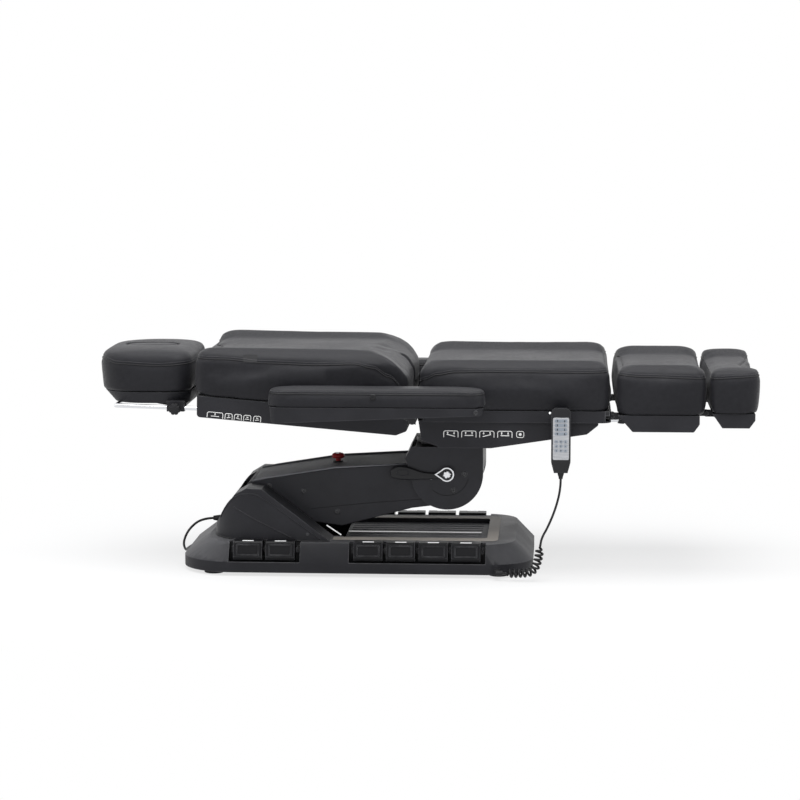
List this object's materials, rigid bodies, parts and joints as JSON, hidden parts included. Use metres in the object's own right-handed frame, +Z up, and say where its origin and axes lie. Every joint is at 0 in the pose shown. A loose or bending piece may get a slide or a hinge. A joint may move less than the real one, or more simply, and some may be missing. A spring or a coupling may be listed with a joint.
{
  "type": "spa treatment chair",
  "caption": "Electric spa treatment chair on a lifting arm, with reclining back, sliding headrest, folding armrests, leg and foot rests, foot pedals and a corded handset.",
  "frame": {"origin": "on the floor under the centre of the whole chair", "axes": "+X towards the foot rest, +Z up, so the head end is at -X and the handset is at -Y"},
  "size_m": [1.882, 0.86, 0.6432],
  "materials": {
    "upholstery": "matte",
    "shell_plastic": "matte",
    "base_plastic": "matte",
    "frame_steel": "satin",
    "chrome": "polished",
    "black_rubber": "matte",
    "red_plastic": "gloss",
    "handset_plastic": "satin",
    "pedal_plastic": "satin"
  },
  "bodies": {
    "base": {"base_cover": "base_plastic", "base_chassis": "frame_steel", "hood": "base_plastic", "levelling_feet": "black_rubber", "mains_gland": "black_rubber", "mains_cord": "black_rubber", "mains_coil": "black_rubber", "mains_plug": "black_rubber", "handset_cord": "black_rubber", "handset_connector": "black_rubber"},
    "arm": {"arm_beam": "frame_steel", "arm_side_covers": "shell_plastic", "arm_top_cover": "base_plastic"},
    "stop": {"stop_button": "red_plastic"},
    "links": {"parallel_links": "frame_steel"},
    "lift_tube": {"lift_motor": "frame_steel"},
    "lift_piston": {"lift_rod": "chrome"},
    "knuckle": {"knuckle_frame": "frame_steel", "knuckle_cover": "shell_plastic"},
    "lever": {"swivel_lever": "shell_plastic"},
    "carriage": {"turntable": "frame_steel"},
    "tilt_tube": {"tilt_motor": "frame_steel"},
    "tilt_piston": {"tilt_rod": "chrome"},
    "seat": {"seat_frame": "frame_steel", "seat_cushion": "upholstery", "seat_shell": "shell_plastic", "leg_motor": "frame_steel"},
    "back": {"back_frame": "frame_steel", "back_cushion": "upholstery", "back_shell": "shell_plastic", "headrest_rail": "chrome"},
    "back_tube": {"back_motor": "frame_steel"},
    "back_piston": {"back_rod": "chrome"},
    "head": {"head_cushion": "upholstery", "head_shell": "shell_plastic"},
    "plug": {"face_plug": "upholstery"},
    "knob": {"head_knob": "black_rubber"},
    "armrest_right": {"armrest_right_pad": "upholstery", "armrest_right_shell": "shell_plastic"},
    "armrest_left": {"armrest_left_pad": "upholstery", "armrest_left_shell": "shell_plastic"},
    "leg": {"leg_frame": "frame_steel", "leg_cushion": "upholstery", "leg_shell": "shell_plastic"},
    "leg_piston": {"leg_rod": "chrome"},
    "foot": {"foot_cushion": "upholstery", "foot_shell": "shell_plastic"},
    "handset": {"handset": "handset_plastic"},
    "pedal_right_1": {"pedal_right_1": "pedal_plastic"},
    "pedal_right_2": {"pedal_right_2": "pedal_plastic"},
    "pedal_right_3": {"pedal_right_3": "pedal_plastic"},
    "pedal_right_4": {"pedal_right_4": "pedal_plastic"},
    "pedal_right_5": {"pedal_right_5": "pedal_plastic"},
    "pedal_right_6": {"pedal_right_6": "pedal_plastic"},
    "pedal_left_1": {"pedal_left_1": "pedal_plastic"},
    "pedal_left_2": {"pedal_left_2": "pedal_plastic"},
    "pedal_left_3": {"pedal_left_3": "pedal_plastic"},
    "pedal_left_4": {"pedal_left_4": "pedal_plastic"},
    "pedal_left_5": {"pedal_left_5": "pedal_plastic"},
    "pedal_left_6": {"pedal_left_6": "pedal_plastic"}
  },
  "joints": [
    {"name": "lift", "type": "hinge", "parent": "base", "child": "arm", "pos_m": [-0.436, 0, 0.224], "axis": [0, -1, 0], "range_deg": [0, 48.8]},
    {"name": "level", "type": "hinge", "parent": "arm", "child": "knuckle", "pos_m": [0.06144, 0, 0.27453], "axis": [0, -1, 0], "range_deg": [-48.8, 0]},
    {"name": "link_swing", "type": "hinge", "parent": "base", "child": "links", "pos_m": [-0.421, 0, 0.162], "axis": [0, -1, 0], "range_deg": [0, 48.8]},
    {"name": "lift_motor_swing", "type": "hinge", "parent": "base", "child": "lift_tube", "pos_m": [-0.52, 0, 0.07], "axis": [0, -1, 0], "range_deg": [0, 28.71]},
    {"name": "lift_rod_swing", "type": "hinge", "parent": "arm", "child": "lift_piston", "pos_m": [-0.20578, 0, 0.18406], "axis": [0, -1, 0], "range_deg": [-20.29, 0]},
    {"name": "stop_press", "type": "slide", "parent": "arm", "child": "stop", "axis": [0, 0, -1], "range_m": [0, 0.005], "stiffness_N_per_m": 600, "springref_m": -0.008},
    {"name": "swivel", "type": "hinge", "parent": "knuckle", "child": "carriage", "pos_m": [0.06144, 0, 0], "axis": [0, 0, 1], "range_deg": [-120, 120]},
    {"name": "swivel_lock", "type": "hinge", "parent": "knuckle", "child": "lever", "pos_m": [0.06144, 0, 0.27453], "axis": [0, -1, 0], "range_deg": [0, 25]},
    {"name": "tilt", "type": "hinge", "parent": "carriage", "child": "seat", "pos_m": [0.101, 0, 0.445], "axis": [0, -1, 0], "range_deg": [0, 12]},
    {"name": "tilt_motor_swing", "type": "hinge", "parent": "carriage", "child": "tilt_tube", "pos_m": [0.04, 0, 0.394], "axis": [0, -1, 0], "range_deg": [0, 9.03]},
    {"name": "tilt_rod_swing", "type": "hinge", "parent": "seat", "child": "tilt_piston", "pos_m": [0.3, 0, 0.412], "axis": [0, -1, 0], "range_deg": [-3.17, 0]},
    {"name": "back", "type": "hinge", "parent": "seat", "child": "back", "pos_m": [-0.15, 0, 0.515], "axis": [0, 1, 0], "range_deg": [0, 75]},
    {"name": "back_motor_swing", "type": "hinge", "parent": "back", "child": "back_tube", "pos_m": [-0.48, 0, 0.466], "axis": [0, 1, 0], "range_deg": [-12.87, 0]},
    {"name": "back_rod_swing", "type": "hinge", "parent": "seat", "child": "back_piston", "pos_m": [-0.13, 0, 0.425], "axis": [0, 1, 0], "range_deg": [0, 63.5]},
    {"name": "head_slide", "type": "slide", "parent": "back", "child": "head", "axis": [-0.9996, 0, 0.03], "range_m": [0, 0.1]},
    {"name": "plug_lift", "type": "slide", "parent": "head", "child": "plug", "axis": [0, 0, 1], "range_m": [0, 0.12]},
    {"name": "leg", "type": "hinge", "parent": "seat", "child": "leg", "pos_m": [0.529, 0, 0.455], "axis": [0, 1, 0], "range_deg": [0, 80]},
    {"name": "leg_rod_swing", "type": "hinge", "parent": "leg", "child": "leg_piston", "pos_m": [0.557, 0, 0.425], "axis": [0, 1, 0], "range_deg": [-80, 0]},
    {"name": "foot", "type": "hinge", "parent": "leg", "child": "foot", "pos_m": [0.795, 0, 0.458], "axis": [0, 1, 0], "range_deg": [0, 60]},
    {"name": "handset_lift", "type": "slide", "parent": "seat", "child": "handset", "axis": [0, 0, 1], "range_m": [0, 0.06]},
    {"name": "head_clamp", "type": "hinge", "parent": "head", "child": "knob", "pos_m": [-0.712, -0.2, 0.46325], "axis": [0, 1, 0], "continuous": true},
    {"name": "armrest_right", "type": "hinge", "parent": "seat", "child": "armrest_right", "pos_m": [-0.15, 0, 0.515], "axis": [0, -1, 0], "range_deg": [0, 90]},
    {"name": "armrest_left", "type": "hinge", "parent": "seat", "child": "armrest_left", "pos_m": [-0.15, 0, 0.515], "axis": [0, -1, 0], "range_deg": [0, 90]},
    {"name": "pedal_right_1_press", "type": "hinge", "parent": "base", "child": "pedal_right_1", "pos_m": [0, -0.253, 0.07], "axis": [1, 0, 0], "range_deg": [0, 5], "stiffness_Nm_per_rad": 6, "springref_deg": -5.73},
    {"name": "pedal_right_2_press", "type": "hinge", "parent": "base", "child": "pedal_right_2", "pos_m": [0, -0.253, 0.07], "axis": [1, 0, 0], "range_deg": [0, 5], "stiffness_Nm_per_rad": 6, "springref_deg": -5.73},
    {"name": "pedal_right_3_press", "type": "hinge", "parent": "base", "child": "pedal_right_3", "pos_m": [0, -0.253, 0.07], "axis": [1, 0, 0], "range_deg": [0, 5], "stiffness_Nm_per_rad": 6, "springref_deg": -5.73},
    {"name": "pedal_right_4_press", "type": "hinge", "parent": "base", "child": "pedal_right_4", "pos_m": [0, -0.253, 0.07], "axis": [1, 0, 0], "range_deg": [0, 5], "stiffness_Nm_per_rad": 6, "springref_deg": -5.73},
    {"name": "pedal_right_5_press", "type": "hinge", "parent": "base", "child": "pedal_right_5", "pos_m": [0, -0.253, 0.07], "axis": [1, 0, 0], "range_deg": [0, 5], "stiffness_Nm_per_rad": 6, "springref_deg": -5.73},
    {"name": "pedal_right_6_press", "type": "hinge", "parent": "base", "child": "pedal_right_6", "pos_m": [0, -0.253, 0.07], "axis": [1, 0, 0], "range_deg": [0, 5], "stiffness_Nm_per_rad": 6, "springref_deg": -5.73},
    {"name": "pedal_left_1_press", "type": "hinge", "parent": "base", "child": "pedal_left_1", "pos_m": [0, 0.253, 0.07], "axis": [-1, 0, 0], "range_deg": [0, 5], "stiffness_Nm_per_rad": 6, "springref_deg": -5.73},
    {"name": "pedal_left_2_press", "type": "hinge", "parent": "base", "child": "pedal_left_2", "pos_m": [0, 0.253, 0.07], "axis": [-1, 0, 0], "range_deg": [0, 5], "stiffness_Nm_per_rad": 6, "springref_deg": -5.73},
    {"name": "pedal_left_3_press", "type": "hinge", "parent": "base", "child": "pedal_left_3", "pos_m": [0, 0.253, 0.07], "axis": [-1, 0, 0], "range_deg": [0, 5], "stiffness_Nm_per_rad": 6, "springref_deg": -5.73},
    {"name": "pedal_left_4_press", "type": "hinge", "parent": "base", "child": "pedal_left_4", "pos_m": [0, 0.253, 0.07], "axis": [-1, 0, 0], "range_deg": [0, 5], "stiffness_Nm_per_rad": 6, "springref_deg": -5.73},
    {"name": "pedal_left_5_press", "type": "hinge", "parent": "base", "child": "pedal_left_5", "pos_m": [0, 0.253, 0.07], "axis": [-1, 0, 0], "range_deg": [0, 5], "stiffness_Nm_per_rad": 6, "springref_deg": -5.73},
    {"name": "pedal_left_6_press", "type": "hinge", "parent": "base", "child": "pedal_left_6", "pos_m": [0, 0.253, 0.07], "axis": [-1, 0, 0], "range_deg": [0, 5], "stiffness_Nm_per_rad": 6, "springref_deg": -5.73}
  ],
  "couplings": [
    {"joint": "level", "follows": "lift", "ratio": -1},
    {"joint": "link_swing", "follows": "lift", "ratio": 1},
    {"joint": "lift_motor_swing", "follows": "lift", "ratio": 0.58618},
    {"joint": "lift_rod_swing", "follows": "lift", "ratio": -0.41382},
    {"joint": "tilt_motor_swing", "follows": "tilt", "ratio": 0.74449},
    {"joint": "tilt_rod_swing", "follows": "tilt", "ratio": -0.25551},
    {"joint": "back_motor_swing", "follows": "back", "ratio": -0.16},
    {"joint": "back_rod_swing", "follows": "back", "ratio": 0.84},
    {"joint": "leg_rod_swing", "follows": "leg", "ratio": -1}
  ]
}
